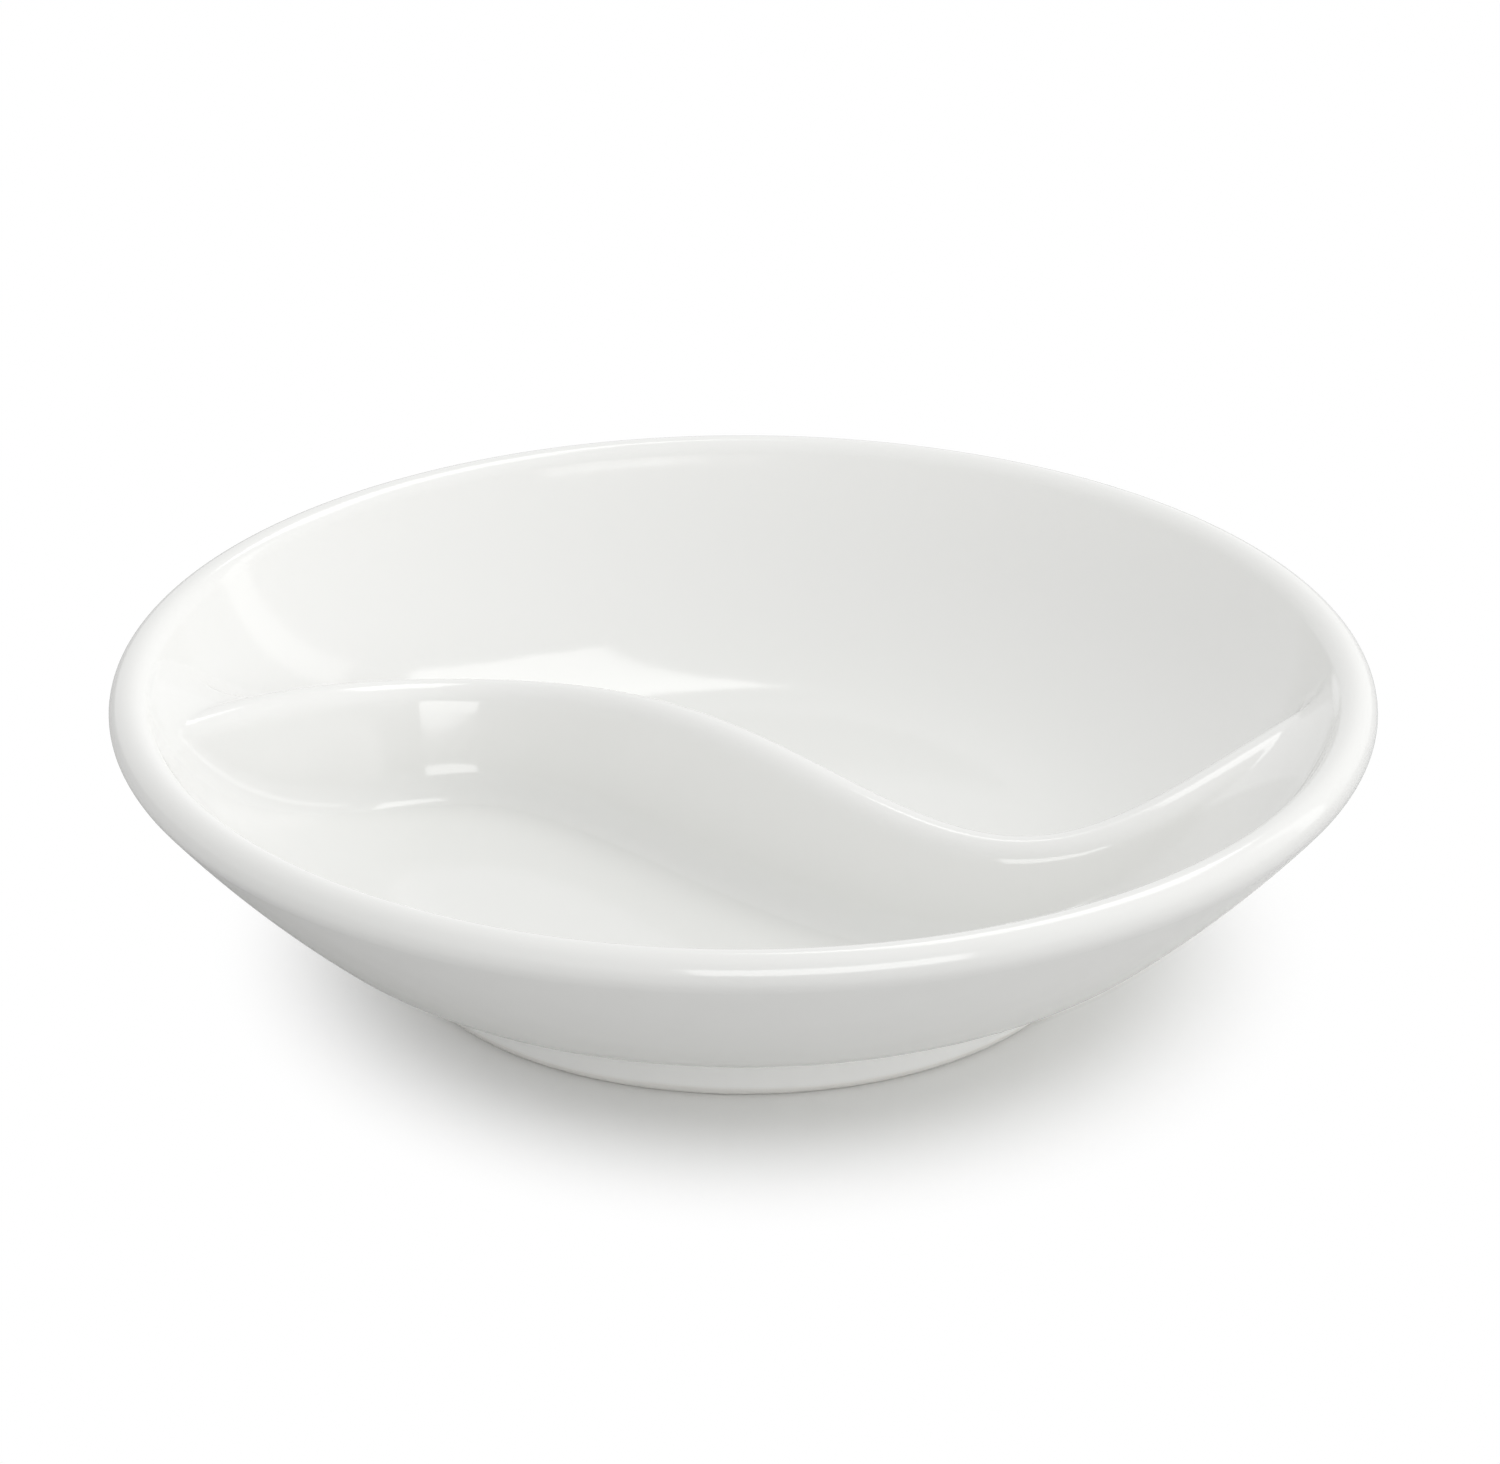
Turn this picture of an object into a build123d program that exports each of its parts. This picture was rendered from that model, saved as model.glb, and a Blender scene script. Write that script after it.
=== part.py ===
"""Round two-well sauce dish: a shallow bowl on a foot ring, with an S-shaped divider across its inside.

Millimetres, +Z up. The origin is the centre of the circle that the foot ring stands on.
The dish looks the same after half a turn about Z.
"""
import os
from math import asin, atan2, cos, pi, radians, sin, sqrt, tan

from build123d import *

# Bowl: overall size, lip, walls and floor
rim_radius = 50.0
dish_height = 23.0
lip_radius = 1.7
wall_thickness = 2.1
heel_radius = 14.5
floor_height = 8.0
base_height = 5.1

# Foot ring: a drafted ring luted under the flat base, with a small ledge of base left around it
foot_radius = 27.2
foot_width = 3.6
foot_draft = 6.0
foot_edge_radius = 0.8
heel_ledge = 1.0

# Divider: its crest line, an S from wall to wall that is one sine wave in plan.
# The crest is highest in the middle, dips in each lobe and climbs again to the wall.
lobe_length = 44.0
lobe_bulge = 14.6
crest_drop = 5.75
crest_dip = 1.15
crest_end_rise = 2.3
crest_spans = 14

# Divider: its section, and how it is blended into the bowl.
# The root is rounded into a surface this far under the bowl's inside, so it ends there in a clean line.
crest_radius = 2.0
divider_draft = 17.0
root_radius = 4.0
root_sink = 0.1

# Bowl section, as distance from the axis and height above the table
lip_centre = Vector(rim_radius - lip_radius, dish_height - lip_radius)
lip_crown = lip_centre + Vector(0, lip_radius)
foot_lean = base_height * tan(radians(foot_draft))
foot_top_radius = foot_radius + foot_lean
heel_edge = Vector(foot_top_radius + heel_ledge, base_height)
heel_centre = heel_edge + Vector(0, heel_radius)

# The outside wall is straight, tangent to the round lip above and to the round heel below
heel_to_lip = lip_centre - heel_centre
wall_slope = atan2(heel_to_lip.Y, heel_to_lip.X) + asin((heel_radius - lip_radius) / heel_to_lip.length)
wall_outward = Vector(sin(wall_slope), -cos(wall_slope))
lip_outside = lip_centre + wall_outward * lip_radius
heel_top = heel_centre + wall_outward * heel_radius

# The inside wall is one arc. It is tangent to the floor, to the round lip, and to a line that lies one wall
# thickness inside the outside wall. The floor and that line meet at a corner, and a quadratic gives the radius.
thickness_point = lip_outside - wall_outward * wall_thickness
corner_reach = thickness_point.X - (thickness_point.Y - floor_height) / tan(wall_slope)
corner = Vector(corner_reach, floor_height)
corner_to_lip = lip_centre - corner
corner_share = tan(wall_slope / 2)
half_linear = corner_to_lip.Y + lip_radius - corner_to_lip.X * corner_share
constant = corner_to_lip.length**2 - lip_radius**2
inside_wall_radius = (half_linear - sqrt(half_linear**2 - corner_share**2 * constant)) / corner_share**2
inside_centre = corner + Vector(-corner_share, 1) * inside_wall_radius
inside_direction = (lip_centre - inside_centre).normalized()
lip_inside = lip_centre - inside_direction * lip_radius
floor_edge = Vector(inside_centre.X, floor_height)

# Bowl
with BuildPart() as bowl:
    with BuildSketch(Plane.YZ):
        with BuildLine():
            Polyline((0, base_height), (0, floor_height), floor_edge)
            RadiusArc(floor_edge, lip_inside, -inside_wall_radius)
            ThreePointArc(lip_inside, lip_crown, lip_outside)
            Line(lip_outside, heel_top)
            RadiusArc(heel_top, heel_edge, heel_radius)
            Line(heel_edge, (0, base_height))
        make_face()
    revolve(axis=Axis.Z)
bowl.part.label = "bowl"

# Foot ring
with BuildPart() as foot_ring:
    with BuildSketch(Plane.YZ) as foot_section:
        with BuildLine():
            Polyline(
                (foot_radius, 0),
                (foot_top_radius, base_height),
                (foot_radius - foot_width - foot_lean, base_height),
                (foot_radius - foot_width, 0),
                close=True,
            )
        make_face()
        fillet(foot_section.vertices().group_by(Axis.Y)[0], foot_edge_radius)
    revolve(axis=Axis.Z)
foot_ring.part.label = "foot_ring"


# Divider: crest line
def crest_point(reach, lift):
    """Point of the crest line at a reach along X from the axis, raised by a lift."""
    phase = pi * reach / lobe_length
    climb = crest_dip * cos(2 * phase) + crest_end_rise * (reach / rim_radius) ** 4
    return Vector(reach, -lobe_bulge * sin(phase), dish_height - crest_drop + climb + lift)


crest_reaches = [rim_radius * (2 * step / crest_spans - 1) for step in range(crest_spans + 1)]
with BuildLine() as crest_line:
    Spline(*[crest_point(reach, 0) for reach in crest_reaches])
with BuildLine() as upright_guide:
    Spline(*[crest_point(reach, crest_radius) for reach in crest_reaches])

# Divider: a drafted wall with a round crest, deep enough to reach under the floor everywhere
wall_depth = dish_height - floor_height
side_top = Vector(cos(radians(divider_draft)), sin(radians(divider_draft)) - 1) * crest_radius
side_foot = Vector(side_top.X + (wall_depth + side_top.Y) * tan(radians(divider_draft)), -wall_depth)
start_heading = crest_line.line % 0
section_plane = Plane(
    origin=crest_line.line @ 0,
    x_dir=Vector(-start_heading.Y, start_heading.X, 0),
    z_dir=Vector(start_heading.X, start_heading.Y, 0),
)
with BuildPart() as divider_wall:
    with BuildSketch(section_plane):
        with BuildLine():
            ThreePointArc((-side_top.X, side_top.Y), (0, 0), side_top)
            Polyline(side_top, side_foot, (-side_foot.X, side_foot.Y), (-side_top.X, side_top.Y))
        make_face()
    sweep(path=crest_line.line, binormal=upright_guide.line.edge())

# Divider: blended into a block of clay that is hollowed like the bowl, then trimmed to the bowl's inside
block_top = dish_height + 2 * root_radius
block_radius = rim_radius + 4 * root_radius


def hollow_section(sink):
    """Section of the space inside the bowl, sunk a little under its surface and carried straight on upward."""
    radius = inside_wall_radius + sink
    floor_end = Vector(floor_edge.X, floor_height - sink)
    wall_end = inside_centre + inside_direction * radius
    wall_heading = Vector(-inside_direction.Y, inside_direction.X)
    block_edge = wall_end + wall_heading * ((block_top - wall_end.Y) / wall_heading.Y)
    with BuildSketch(Plane.YZ) as section:
        with BuildLine():
            RadiusArc(floor_end, wall_end, -radius)
            Polyline(wall_end, block_edge, (0, block_top), (0, floor_end.Y), floor_end)
        make_face()
    return section.sketch


with BuildPart() as clay_block:
    Cylinder(block_radius, block_top, align=(Align.CENTER, Align.CENTER, Align.MIN))
    revolve(hollow_section(root_sink), axis=Axis.Z, mode=Mode.SUBTRACT)

with BuildPart() as inside_space:
    revolve(hollow_section(0), axis=Axis.Z)

with BuildPart() as divider:
    add(clay_block.part)
    add(divider_wall.part)
    root_seam = new_edges(clay_block.part, divider_wall.part, combined=divider.part)
    fillet(root_seam, root_radius)
    add(inside_space.part, mode=Mode.INTERSECT)
divider.part.label = "divider"

os.makedirs("parts", exist_ok=True)
for piece in (bowl, foot_ring, divider):
    export_step(piece.part, f"parts/{piece.part.label}.step")
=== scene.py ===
"""White glazed porcelain sauce dish, parted into two wells by an S-shaped divider.

The dish's sizes are in millimetres, as in the part's source unless a comment says otherwise, and each mesh
is turned into metres as it is made. Floor, lamps, camera and materials are in metres.
"""
from math import acos, asin, atan2, ceil, cos, pi, radians, sin, sqrt, tan

import bpy
import numpy as np
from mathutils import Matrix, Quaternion, Vector


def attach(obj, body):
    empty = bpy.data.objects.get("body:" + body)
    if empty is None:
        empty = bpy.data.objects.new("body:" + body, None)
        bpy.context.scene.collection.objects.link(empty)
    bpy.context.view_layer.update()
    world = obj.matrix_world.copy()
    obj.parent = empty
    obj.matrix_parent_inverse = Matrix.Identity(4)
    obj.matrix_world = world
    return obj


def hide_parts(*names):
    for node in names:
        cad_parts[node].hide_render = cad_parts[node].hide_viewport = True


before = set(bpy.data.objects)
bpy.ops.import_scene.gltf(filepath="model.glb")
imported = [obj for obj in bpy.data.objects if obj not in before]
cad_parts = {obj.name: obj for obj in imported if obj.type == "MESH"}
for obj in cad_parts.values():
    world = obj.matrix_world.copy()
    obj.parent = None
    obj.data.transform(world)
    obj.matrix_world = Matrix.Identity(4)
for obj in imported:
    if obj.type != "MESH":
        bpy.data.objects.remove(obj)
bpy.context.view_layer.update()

# Bowl
rim_radius = 50.0
dish_height = 23.0
lip_radius = 1.7
wall_thickness = 2.1
heel_radius = 14.5
floor_height = 8.0
base_height = 5.1

# Bowl: only in the visual, the lip rolls off more slowly outside and the outside wall bows a little
lip_flare_radius = 2.8
lip_flare_start = radians(-22.0)
wall_bow_radius = 100.0

# Foot ring
foot_radius = 27.2
foot_width = 3.6
foot_draft = radians(6.0)
foot_edge_radius = 0.8
heel_ledge = 1.0

# Foot ring: only in the visual, a bead of glaze in its upper corners
glaze_bead = 0.7

# Divider
lobe_length = 44.0
lobe_bulge = 14.6
crest_drop = 5.75
crest_dip = 1.15
crest_end_rise = 2.3
crest_radius = 2.0
divider_draft = radians(17.0)

# Divider: its glazed root, tighter than the solids' in the middle and wider at the ends
root_radius = 3.4
end_root_radius = 6.5
root_growth = 6

# Fineness of the meshes
millimetre = 0.001
sharp_angle = radians(40.0)
turns = 360
arc_error = 0.0015
ring_gap = 1.6
crest_step = 0.2
side_step = 0.14
net_half_width = 14.0
halvings = 40
seat_depth = 0.6
hidden_sink = 0.006
seam_lift = 0.08
most_alike = 0.995
tiny = 1e-6

# Bowl section, as distance from the axis and height
lip_centre = np.array([rim_radius - lip_radius, dish_height - lip_radius])
foot_lean = base_height * tan(foot_draft)
foot_top_radius = foot_radius + foot_lean
heel_edge = np.array([foot_top_radius + heel_ledge, base_height])
heel_centre = heel_edge + [0, heel_radius]
heel_to_lip = lip_centre - heel_centre
lip_rise = atan2(heel_to_lip[1], heel_to_lip[0])
wall_slope = lip_rise + asin((heel_radius - lip_radius) / np.hypot(*heel_to_lip))
wall_outward = np.array([sin(wall_slope), -cos(wall_slope)])

# The inside wall is one arc, tangent to the floor, to the lip and to a line one wall thickness in
thickness_point = lip_centre + wall_outward * (lip_radius - wall_thickness)
corner_reach = thickness_point[0] - (thickness_point[1] - floor_height) / tan(wall_slope)
corner = np.array([corner_reach, floor_height])
corner_to_lip = lip_centre - corner
corner_share = tan(wall_slope / 2)
half_linear = corner_to_lip[1] + lip_radius - corner_to_lip[0] * corner_share
constant = corner_to_lip @ corner_to_lip - lip_radius**2
inside_radius = (half_linear - sqrt(half_linear**2 - corner_share**2 * constant)) / corner_share**2
inside_centre = corner + np.array([-corner_share, 1]) * inside_radius
inside_direction = (lip_centre - inside_centre) / np.hypot(*(lip_centre - inside_centre))


def angle_of(direction):
    """Angle of a direction in the section."""
    return atan2(direction[1], direction[0])


def bow_centre(radius, upper_centre, upper_radius, lower_centre, lower_radius):
    """Centre of a wide arc that runs tangent from an upper arc to a lower one, with both inside it."""
    to_upper = radius - upper_radius
    to_lower = radius - lower_radius
    run = lower_centre - upper_centre
    length = np.hypot(*run)
    turn = angle_of(run) - acos((to_upper**2 + length**2 - to_lower**2) / (2 * to_upper * length))
    return upper_centre + to_upper * np.array([cos(turn), sin(turn)])


def arc(centre, radius, start, end):
    """Points of an arc of the section between two angles, both ends included."""
    widest_step = sqrt(8 * arc_error / radius)
    steps = max(2, ceil(abs(end - start) / widest_step))
    return [centre + radius * np.array([cos(a), sin(a)]) for a in np.linspace(start, end, steps + 1)]


def straight(start, end):
    """Points of a straight run of the section, its ends left out."""
    start, end = np.array(start, float), np.array(end, float)
    steps = max(2, int(np.hypot(*(end - start)) / ring_gap))
    return [start + (end - start) * i / steps for i in range(1, steps)]


def piece_from(name, points, faces):
    """A smooth-shaded piece from points in millimetres, riding on the dish's body."""
    mesh = bpy.data.meshes.new(name)
    mesh.from_pydata([tuple(point) for point in np.asarray(points) * millimetre], [], faces)
    mesh.shade_smooth()
    piece = bpy.data.objects.new(name, mesh)
    bpy.context.scene.collection.objects.link(piece)
    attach(piece, "root")
    return piece


def turned(name, outline, closed):
    """A piece turned about Z from (reach, height) points: a closed loop, or a line from axis to axis."""
    angles = np.linspace(0, 2 * pi, turns, endpoint=False)
    points = []
    rings = []
    for reach, height in outline:
        if reach < tiny:
            rings.append([len(points)] * turns)
            points.append((0, 0, height))
        else:
            rings.append(range(len(points), len(points) + turns))
            points.extend((reach * cos(a), reach * sin(a), height) for a in angles)
    if closed:
        rings.append(rings[0])
    faces = []
    for lower, upper in zip(rings, rings[1:]):
        for here in range(turns):
            after = (here + 1) % turns
            faces.append(list(dict.fromkeys([lower[here], lower[after], upper[after], upper[here]])))
    piece = piece_from(name, points, faces)
    piece.data.set_sharp_from_angle(angle=sharp_angle)
    return piece


# Bowl: its outside wall runs tangent from the lip's flare to the round heel
flare_way = np.array([cos(lip_flare_start), sin(lip_flare_start)])
flare_centre = lip_centre - (lip_flare_radius - lip_radius) * flare_way
wall_bow_centre = bow_centre(wall_bow_radius, flare_centre, lip_flare_radius, heel_centre, heel_radius)
bow_top = angle_of(flare_centre - wall_bow_centre)
bow_foot = angle_of(heel_centre - wall_bow_centre)
bowl_outline = [(0, base_height)]
bowl_outline += straight((0, base_height), heel_edge)
bowl_outline += arc(heel_centre, heel_radius, -pi / 2, bow_foot)
bowl_outline += arc(wall_bow_centre, wall_bow_radius, bow_foot, bow_top)[1:]
bowl_outline += arc(flare_centre, lip_flare_radius, bow_top, lip_flare_start)[1:]
bowl_outline += arc(lip_centre, lip_radius, lip_flare_start, angle_of(-inside_direction))[1:]
bowl_outline += arc(inside_centre, inside_radius, angle_of(inside_direction), -pi / 2)[1:]
bowl_outline += straight((inside_centre[0], floor_height), (0, floor_height))
bowl_outline += [(0, floor_height)]
bowl = turned("dish_bowl", bowl_outline, closed=False)
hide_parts("bowl")

# Foot ring, with a bead of glaze in the corners where it meets the bowl's base
foot_inner = foot_radius - foot_width
edge_inset = foot_edge_radius * (1 / cos(foot_draft) - tan(foot_draft))
bead_height = base_height - glaze_bead
bead_reach = bead_height * tan(foot_draft) + glaze_bead / cos(foot_draft)
outer_edge = np.array([foot_radius - edge_inset, foot_edge_radius])
outer_bead = np.array([foot_radius + bead_reach, bead_height])
inner_bead = np.array([foot_inner - bead_reach, bead_height])
inner_edge = np.array([foot_inner + edge_inset, foot_edge_radius])
foot_outline = arc(outer_edge, foot_edge_radius, -pi / 2, -foot_draft)
foot_outline += arc(outer_bead, glaze_bead, pi - foot_draft, pi / 2)
foot_outline += arc(inner_bead, glaze_bead, pi / 2, foot_draft)
foot_outline += arc(inner_edge, foot_edge_radius, pi + foot_draft, 3 * pi / 2)
foot_ring = turned("dish_foot_ring", foot_outline, closed=True)
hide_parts("foot_ring")


# Divider: distances that say where its surface lies, each with the way it grows as (sideways, up)
def bowl_distance(reach, height):
    """Distance of points in the hollow from the bowl's inside: floor, then wall, then round lip."""
    out = reach - inside_centre[0]
    up = height - inside_centre[1]
    from_centre = np.hypot(out, up)
    lip_out = reach - lip_centre[0]
    lip_up = height - lip_centre[1]
    from_lip = np.hypot(lip_out, lip_up)
    on_floor = out < 0
    past_wall = inside_direction[0] * up > inside_direction[1] * out
    distance = np.where(past_wall, from_lip - lip_radius, inside_radius - from_centre)
    outward = np.where(past_wall, lip_out / from_lip, -out / from_centre)
    upward = np.where(past_wall, lip_up / from_lip, -up / from_centre)
    distance = np.where(on_floor, height - floor_height, distance)
    return distance, np.where(on_floor, 0, outward), np.where(on_floor, 1, upward)


def wall_distance(across, rise):
    """Distance from the divider's plain wall, by distance across it and rise above its crest's centre."""
    side = np.sign(across)
    from_crest = np.maximum(np.hypot(across, rise), tiny)
    on_crest = np.abs(across) * sin(divider_draft) < rise * cos(divider_draft)
    from_side = np.abs(across) * cos(divider_draft) + rise * sin(divider_draft)
    distance = np.where(on_crest, from_crest, from_side) - crest_radius
    sideways = np.where(on_crest, across / from_crest, side * cos(divider_draft))
    upward = np.where(on_crest, rise / from_crest, sin(divider_draft))
    return distance, sideways, upward


def blended(first, second, likeness, radius):
    """Distance from two clays joined by a round root, where likeness is the cosine between their ways."""
    first_short = radius - first
    second_short = radius - second
    in_root = (first_short > likeness * second_short) & (second_short > likeness * first_short)
    square = first_short**2 + second_short**2 - 2 * likeness * first_short * second_short
    to_root = np.sqrt(square / (1 - likeness**2))
    return np.where(in_root, radius - to_root, np.minimum(first, second))


def eased(share):
    """A share between 0 and 1 that starts and ends softly."""
    return share**2 * (3 - 2 * share)


# Divider: a net of points along its crest and across it, each lowered onto the blended surface
reaches = np.arange(-rim_radius, rim_radius + crest_step / 2, crest_step)[:, None]
phases = pi * reaches / lobe_length
slopes = -lobe_bulge * pi / lobe_length * np.cos(phases)
across = np.linspace(-net_half_width, net_half_width, int(2 * net_half_width / side_step) + 1)[None, :]
net_x = reaches - across * slopes / np.hypot(1, slopes)
net_y = -lobe_bulge * np.sin(phases) + across / np.hypot(1, slopes)
net_reach = np.hypot(net_x, net_y)
facing = (net_y - net_x * slopes) / np.hypot(1, slopes) / np.maximum(net_reach, tiny)
crest_climb = crest_dip * np.cos(2 * phases) + crest_end_rise * (reaches / rim_radius) ** 4
crest_centre = dish_height - crest_drop + crest_climb - crest_radius
roots = root_radius + (end_root_radius - root_radius) * (reaches / rim_radius) ** root_growth
low = np.full(net_x.shape, floor_height - seat_depth)
high = np.full(net_x.shape, dish_height + lip_radius)
for _ in range(halvings):
    middle = (low + high) / 2
    from_bowl, bowl_outward, bowl_upward = bowl_distance(net_reach, middle)
    from_wall, wall_sideways, wall_upward = wall_distance(across, middle - crest_centre)
    likeness = bowl_outward * wall_sideways * facing + bowl_upward * wall_upward
    likeness = np.clip(likeness, -most_alike, most_alike)
    in_clay = blended(from_bowl, from_wall, likeness, roots) < 0
    low = np.where(in_clay, middle, low)
    high = np.where(in_clay, high, middle)
net_z = high

# Divider: the bowl's inside under the net, as its outward lean and its height
lip_inside = lip_centre - inside_direction * lip_radius
wall_lean = np.clip((inside_centre[0] - net_reach) / inside_radius, -1, 0)
lip_lean = np.clip((net_reach - lip_centre[0]) / lip_radius, -1, 1)
on_lip = net_reach > lip_inside[0]
bowl_lean = np.where(on_lip, lip_lean, wall_lean)
bowl_upright = np.sqrt(1 - bowl_lean**2)
bowl_z = np.where(
    on_lip,
    lip_centre[1] + lip_radius * bowl_upright,
    inside_centre[1] - inside_radius * bowl_upright,
)

# Divider: its ends die away on the inner half of the lip
end_share = np.clip((lip_centre[0] - net_reach) / (lip_centre[0] - lip_inside[0]), 0, 1)
lift = (net_z - bowl_z) * eased(end_share)
net_z = bowl_z + lift

# Divider: its shading turns smoothly into the bowl's along the seam
net = np.stack([net_x, net_y, net_z], axis=2)
net_normal = np.cross(np.gradient(net, axis=0), np.gradient(net, axis=1))
net_normal /= np.linalg.norm(net_normal, axis=2, keepdims=True)
outward = np.stack([net_x, net_y], axis=2) / np.maximum(net_reach, 1)[:, :, None]
bowl_normal = np.concatenate([outward * bowl_lean[:, :, None], bowl_upright[:, :, None]], axis=2)
seam_share = np.clip((lift - hidden_sink) / seam_lift, 0, 1)[:, :, None]
net_normal = bowl_normal + (net_normal - bowl_normal) * eased(seam_share)

# Divider: the top of the net where it stands out of the bowl, closed below by a seat inside the clay
standing = lift > hidden_sink / 2
cell_standing = standing[:-1, :-1] | standing[1:, :-1] | standing[:-1, 1:] | standing[1:, 1:]
rows, columns = net_x.shape
net[:, :, 2] -= hidden_sink * (1 - seam_share[:, :, 0])
seat = np.stack([net_x, net_y, net_z - np.maximum(lift, 0) - seat_depth], axis=2)
number = np.arange(rows * columns).reshape(rows, columns)
seat_shift = rows * columns
faces = []
for row, column in zip(*np.nonzero(cell_standing)):
    here, after = number[row], number[row + 1]
    loop = [here[column], after[column], after[column + 1], here[column + 1]]
    faces.append(loop)
    faces.append([corner_number + seat_shift for corner_number in reversed(loop)])
    beside = [
        column == 0 or not cell_standing[row, column - 1],
        row + 1 == rows - 1 or not cell_standing[row + 1, column],
        column + 1 == columns - 1 or not cell_standing[row, column + 1],
        row == 0 or not cell_standing[row - 1, column],
    ]
    for side, open_side in enumerate(beside):
        if open_side:
            start, end = loop[side], loop[(side + 1) % 4]
            faces.append([end, start, start + seat_shift, end + seat_shift])
used = sorted({corner_number for face in faces for corner_number in face})
renumbered = {old: new for new, old in enumerate(used)}
divider_points = np.concatenate([net.reshape(-1, 3), seat.reshape(-1, 3)])[used]
divider_normals = np.concatenate([net_normal.reshape(-1, 3), -bowl_normal.reshape(-1, 3)])[used]
divider = piece_from("dish_divider", divider_points, [[renumbered[old] for old in face] for face in faces])
divider.data.normals_split_custom_set_from_vertices([tuple(normal) for normal in divider_normals])
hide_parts("divider")


class Signal:
    """A value that runs through a shader, for use in plain arithmetic."""

    def __init__(self, tree, socket=None):
        self.tree = tree
        self.socket = socket

    def node(self, kind, settings, sockets, output=0):
        """Add a node, set it up, fill its sockets with values or signals, and give one of its outputs."""
        added = self.tree.nodes.new(kind)
        for key, value in settings.items():
            setattr(added, key, value)
        for key, value in sockets.items():
            if isinstance(value, Signal):
                self.tree.links.new(value.socket, added.inputs[key])
            else:
                added.inputs[key].default_value = value
        return Signal(self.tree, added.outputs[output] if added.outputs else None)

    def math(self, operation, first, second):
        return self.node("ShaderNodeMath", {"operation": operation}, {0: first, 1: second})

    def __add__(self, other):
        return self.math("ADD", self, other)

    def __sub__(self, other):
        return self.math("SUBTRACT", self, other)

    def __rsub__(self, other):
        return self.math("SUBTRACT", other, self)

    def __mul__(self, other):
        return self.math("MULTIPLY", self, other)

    __radd__ = __add__
    __rmul__ = __mul__

    def ramp(self, start, end):
        """A soft step from 0 at one value to 1 at another."""
        settings = {"interpolation_type": "SMOOTHSTEP"}
        return self.node("ShaderNodeMapRange", settings, {0: self, 1: start, 2: end, 3: 0.0, 4: 1.0})

    def tint(self, first, second):
        """A colour between two others, by this share."""
        sockets = {0: self, 6: (*first, 1), 7: (*second, 1)}
        return self.node("ShaderNodeMix", {"data_type": "RGBA"}, sockets, 2)


def empty_shader(holder):
    """The start of a material's or the world's shader, with no nodes in it yet."""
    holder.use_nodes = True
    holder.node_tree.nodes.clear()
    return Signal(holder.node_tree)


def noise(start, place, scale, detail):
    """Soft noise between 0 and 1, by its cycles per metre."""
    return start.node("ShaderNodeTexNoise", {}, {"Vector": place, "Scale": scale, "Detail": detail}, "Fac")


# Glaze: white porcelain under a clear glossy coat that wavers a little and has pooled low in the wells
glaze_white = (0.885, 0.885, 0.868)
pooled_white = (0.873, 0.878, 0.855)
pool_heights = (0.014, 0.008)
pool_share = 0.7
glaze_roughness = 0.07
roughness_waver = 0.05
glaze_index = 1.5
wander_scale = 45.0
wander_detail = 3.0
peel_scale = 220.0
peel_detail = 1.0
peel_depth = 0.0004
peel_strength = 0.05
porcelain_glaze = bpy.data.materials.new("porcelain_glaze")
start = empty_shader(porcelain_glaze)
place = start.node("ShaderNodeTexCoord", {}, {}, "Object")
height = start.node("ShaderNodeSeparateXYZ", {}, {0: place}, "Z")
wander = noise(start, place, wander_scale, wander_detail)
orange_peel = noise(start, place, peel_scale, peel_detail)
pooled = (1 - pool_share) * wander + pool_share * height.ramp(*pool_heights)
ripple = start.node("ShaderNodeBump", {}, {
    "Strength": peel_strength,
    "Distance": peel_depth,
    "Height": orange_peel,
})
coat = start.node("ShaderNodeBsdfPrincipled", {}, {
    "Base Color": pooled.tint(glaze_white, pooled_white),
    "Roughness": glaze_roughness + wander * roughness_waver,
    "IOR": glaze_index,
    "Normal": ripple,
})
start.node("ShaderNodeOutputMaterial", {}, {"Surface": coat})

# Foot: the bowl's glaze painted lighter, as painted light on the shaded foot, wiped off the edge that it
# stands on
# Painted light: the foot's glaze colour is lighter than the bowl's to stand in for light the foot lacks
foot_glaze_painted_lighter = (0.95, 0.95, 0.935)
bare_clay = (0.82, 0.81, 0.78)
bare_heights = (0.0009, 0.0006)
bare_waver = 0.0006
bare_roughness = 0.5
foot_roughness = 0.09
grain_scale = 1500.0
grain_detail = 2.0
grain_depth = 0.0002
grain_strength = 0.1
foot_porcelain = bpy.data.materials.new("foot_porcelain")
start = empty_shader(foot_porcelain)
place = start.node("ShaderNodeTexCoord", {}, {}, "Object")
height = start.node("ShaderNodeSeparateXYZ", {}, {0: place}, "Z")
wander = noise(start, place, wander_scale, wander_detail)
grain = noise(start, place, grain_scale, grain_detail)
bare = (height + (wander - 0.5) * bare_waver).ramp(*bare_heights)
tooth = start.node("ShaderNodeBump", {}, {
    "Strength": grain_strength,
    "Distance": grain_depth,
    "Height": grain * bare,
})
coat = start.node("ShaderNodeBsdfPrincipled", {}, {
    "Base Color": bare.tint(foot_glaze_painted_lighter, bare_clay),
    "Roughness": foot_roughness + wander * roughness_waver + bare * bare_roughness,
    "IOR": glaze_index,
    "Normal": tooth,
})
start.node("ShaderNodeOutputMaterial", {}, {"Surface": coat})

bowl.data.materials.append(porcelain_glaze)
divider.data.materials.append(porcelain_glaze)
foot_ring.data.materials.append(foot_porcelain)

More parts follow.
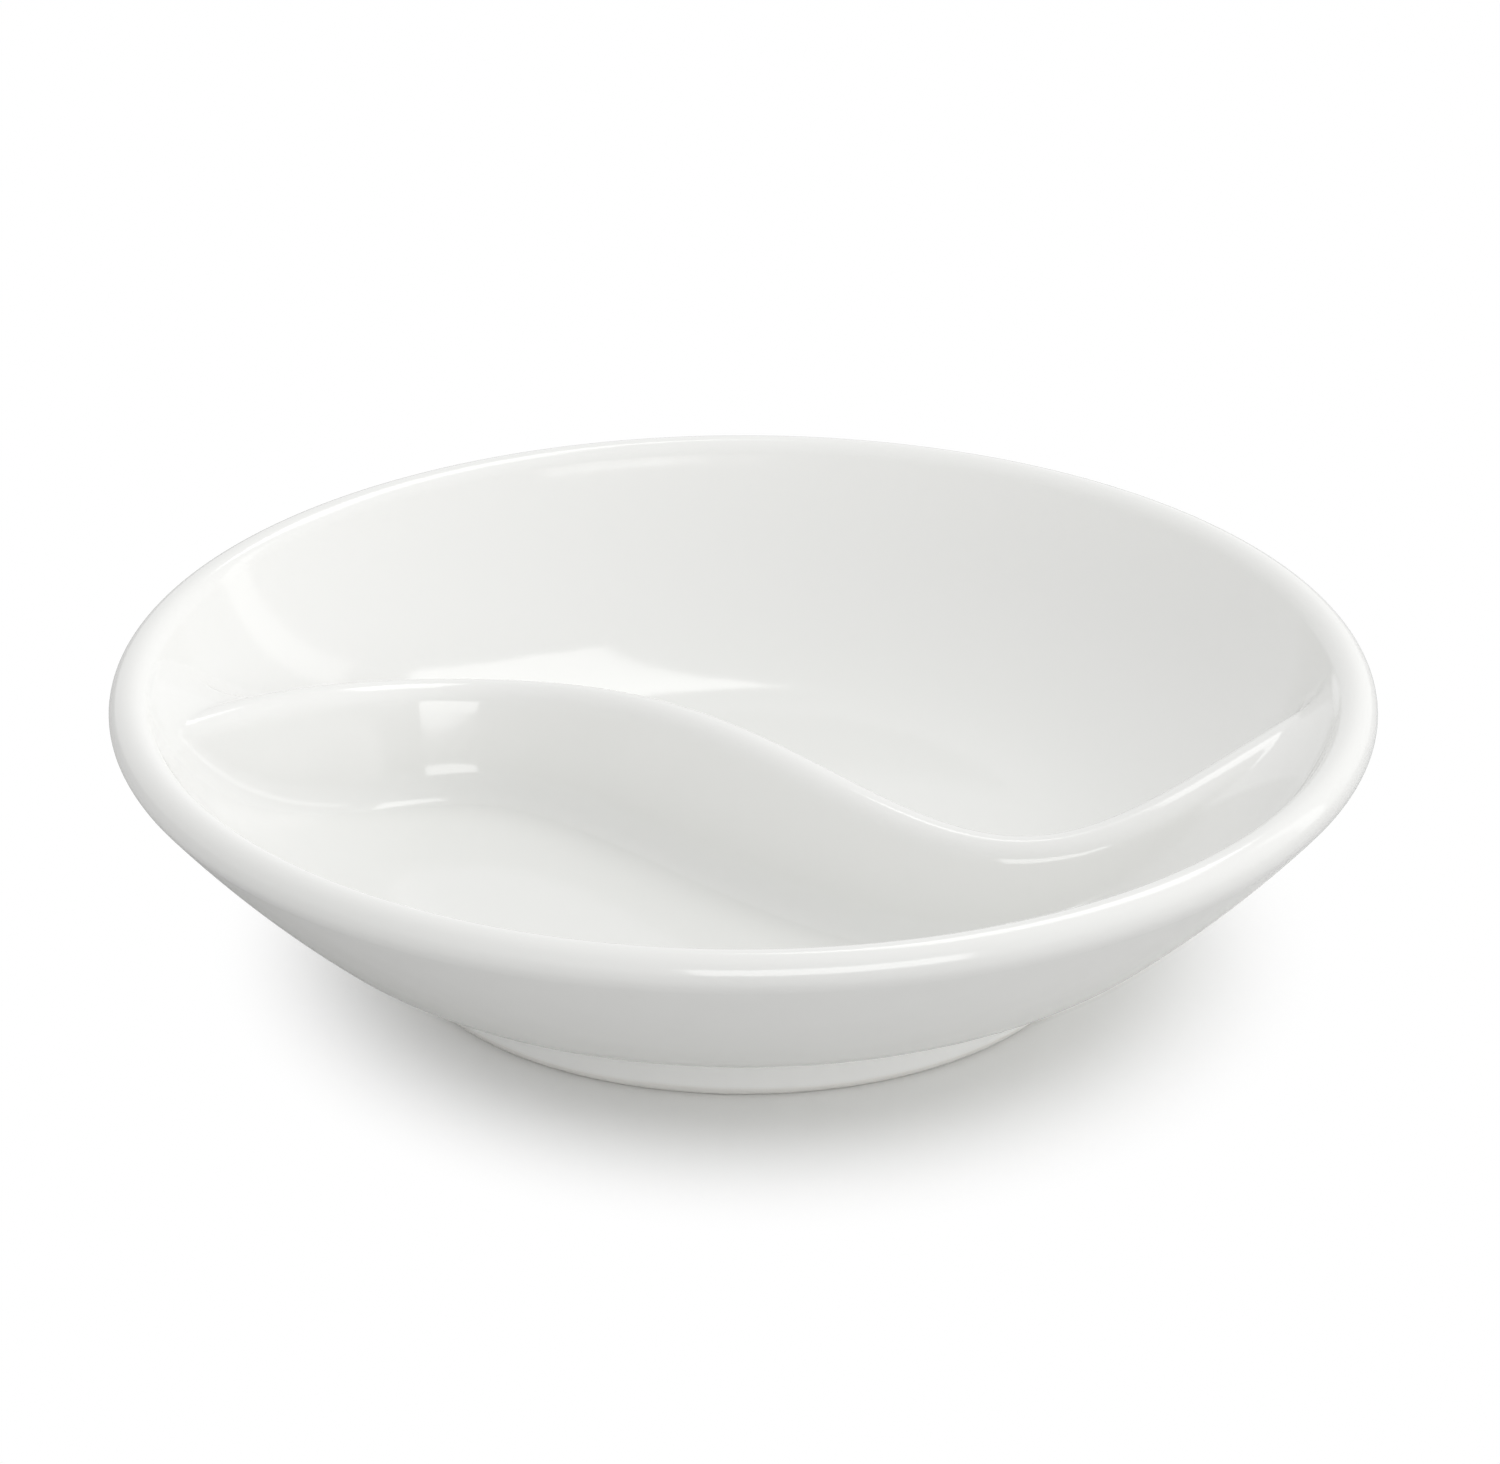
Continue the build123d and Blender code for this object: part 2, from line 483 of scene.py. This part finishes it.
# Floor: keeps the dish's soft shadow close by and fades to plain white further off
far_bounce = (0.63, 0.63, 0.63)
paper_white = (0.95, 0.95, 0.94)
# Painted light: within this reach the floor's bounce is whitened to light the foot and lower wall
near_bounce_pool = (0.06, 0.035)
bounce_pool_share = 0.85
shadow_reach = (0.028, 0.05)
shadow_stretch = (1.12, 1.0, 1.0)
shadow_shift = (-0.0025, 0.0, 0.0)
floor_half = 6.0
floor_mesh = bpy.data.meshes.new("floor")
floor_corners = [
    (-floor_half, -floor_half, 0),
    (floor_half, -floor_half, 0),
    (floor_half, floor_half, 0),
    (-floor_half, floor_half, 0),
]
floor_mesh.from_pydata(floor_corners, [], [(0, 1, 2, 3)])
floor = bpy.data.objects.new("floor", floor_mesh)
bpy.context.scene.collection.objects.link(floor)
floor_white = bpy.data.materials.new("floor_white")
start = empty_shader(floor_white)
place = start.node("ShaderNodeTexCoord", {}, {}, "Object")
shift = {0: place, 1: shadow_stretch, 2: shadow_shift}
shifted = start.node("ShaderNodeVectorMath", {"operation": "MULTIPLY_ADD"}, shift)
from_middle = start.node("ShaderNodeVectorMath", {"operation": "LENGTH"}, {0: shifted}, "Value")
seen = start.node("ShaderNodeLightPath", {}, {}, "Is Camera Ray")

# Floor: painted light: to bounced rays it is nearly paper-white close to the dish, a painted pool of bounce
# light for the foot and lower wall, and greyer further off
whiteness = start.math("MAXIMUM", seen, from_middle.ramp(*near_bounce_pool) * bounce_pool_share)
paper_and_bounce_pool = whiteness.tint(far_bounce, paper_white)
matt = start.node("ShaderNodeBsdfDiffuse", {}, {"Color": paper_and_bounce_pool})
glow = start.node("ShaderNodeEmission", {}, {"Color": (1, 1, 1, 1), "Strength": 1.0})
plain = start.node("ShaderNodeMixShader", {}, {0: from_middle.ramp(*shadow_reach) * seen, 1: matt, 2: glow})
start.node("ShaderNodeOutputMaterial", {}, {"Surface": plain})
floor_mesh.materials.append(floor_white)

# World: white where seen or mirrored, else a soft light, stronger low down, at the right and in front
zenith = 0.81
horizon = 0.55
horizon_falloff = 4.0
from_right = 0.35
from_front = 0.1
world = bpy.data.worlds.new("studio")
bpy.context.scene.world = world
start = empty_shader(world)
heading = start.node("ShaderNodeTexCoord", {}, {}, "Generated")
rightward = start.node("ShaderNodeSeparateXYZ", {}, {0: heading}, "X")
backward = start.node("ShaderNodeSeparateXYZ", {}, {0: heading}, "Y")
upward = start.node("ShaderNodeSeparateXYZ", {}, {0: heading}, "Z")
camera_ray = start.node("ShaderNodeLightPath", {}, {}, "Is Camera Ray")
glossy_ray = start.node("ShaderNodeLightPath", {}, {}, "Is Glossy Ray")
clear_ray = start.node("ShaderNodeLightPath", {}, {}, "Is Transmission Ray")
shown = start.math("MINIMUM", camera_ray + glossy_ray + clear_ray, 1.0)
low_down = start.math("POWER", 1 - start.math("MAXIMUM", upward, 0.0), horizon_falloff)
soft = zenith + low_down * horizon + rightward * from_right - backward * from_front
sky = start.node("ShaderNodeBackground", {}, {"Color": (1, 1, 1, 1), "Strength": soft + shown * (1 - soft)})
start.node("ShaderNodeOutputWorld", {}, {"Surface": sky})


# Lamps, each placed where the photo's highlights mirror it
lamp_distance = 1.0


def softbox(name, azimuth, lift, size, power, lean=0.0, mirrored_only=False):
    """A rectangular lamp that faces the dish, placed by its bearing from +X and its elevation in degrees."""
    lamp = bpy.data.lights.new(name, "AREA")
    lamp.shape = "RECTANGLE"
    lamp.size, lamp.size_y = size
    lamp.energy = power
    bearing, rise = radians(azimuth), radians(lift)
    place = Vector((cos(rise) * cos(bearing), cos(rise) * sin(bearing), sin(rise))) * lamp_distance
    holder = bpy.data.objects.new(name, lamp)
    holder.location = place
    facing = (-place).to_track_quat("-Z", "Y")
    holder.rotation_euler = (facing @ Quaternion((0, 0, 1), radians(lean))).to_euler()
    holder.visible_diffuse = not mirrored_only
    bpy.context.scene.collection.objects.link(holder)


softbox("back_softbox", 67.0, 53.5, (0.36, 0.45), 1.3, lean=50.0)
softbox("right_strip", 29.5, 22.0, (0.14, 0.75), 0.3, lean=-20.0)
softbox("front_softbox", -75.0, 20.0, (0.85, 0.5), 4.4, mirrored_only=True)

# Camera at the photograph's angle
elevation = radians(25.46)
camera_distance = 0.8
farthest_seen = 50.0
image_width = 1500
image_height = 1464
pixels_per_metre = 12610.0
aim_height = 0.012
aim_pixel = (743.3, 806.1)
camera_data = bpy.data.cameras.new("camera")
camera_data.sensor_width = 36.0
camera_data.lens = camera_data.sensor_width * pixels_per_metre * camera_distance / image_width
camera_data.shift_x = (image_width / 2 - aim_pixel[0]) / image_width
camera_data.shift_y = (aim_pixel[1] - image_height / 2) / image_width
camera_data.clip_end = farthest_seen
camera = bpy.data.objects.new("camera", camera_data)
camera.location = (0, -camera_distance * cos(elevation), aim_height + camera_distance * sin(elevation))
camera.rotation_euler = (pi / 2 - elevation, 0, 0)
bpy.context.scene.collection.objects.link(camera)
bpy.context.scene.camera = camera
bpy.context.scene.view_settings.view_transform = "Standard"
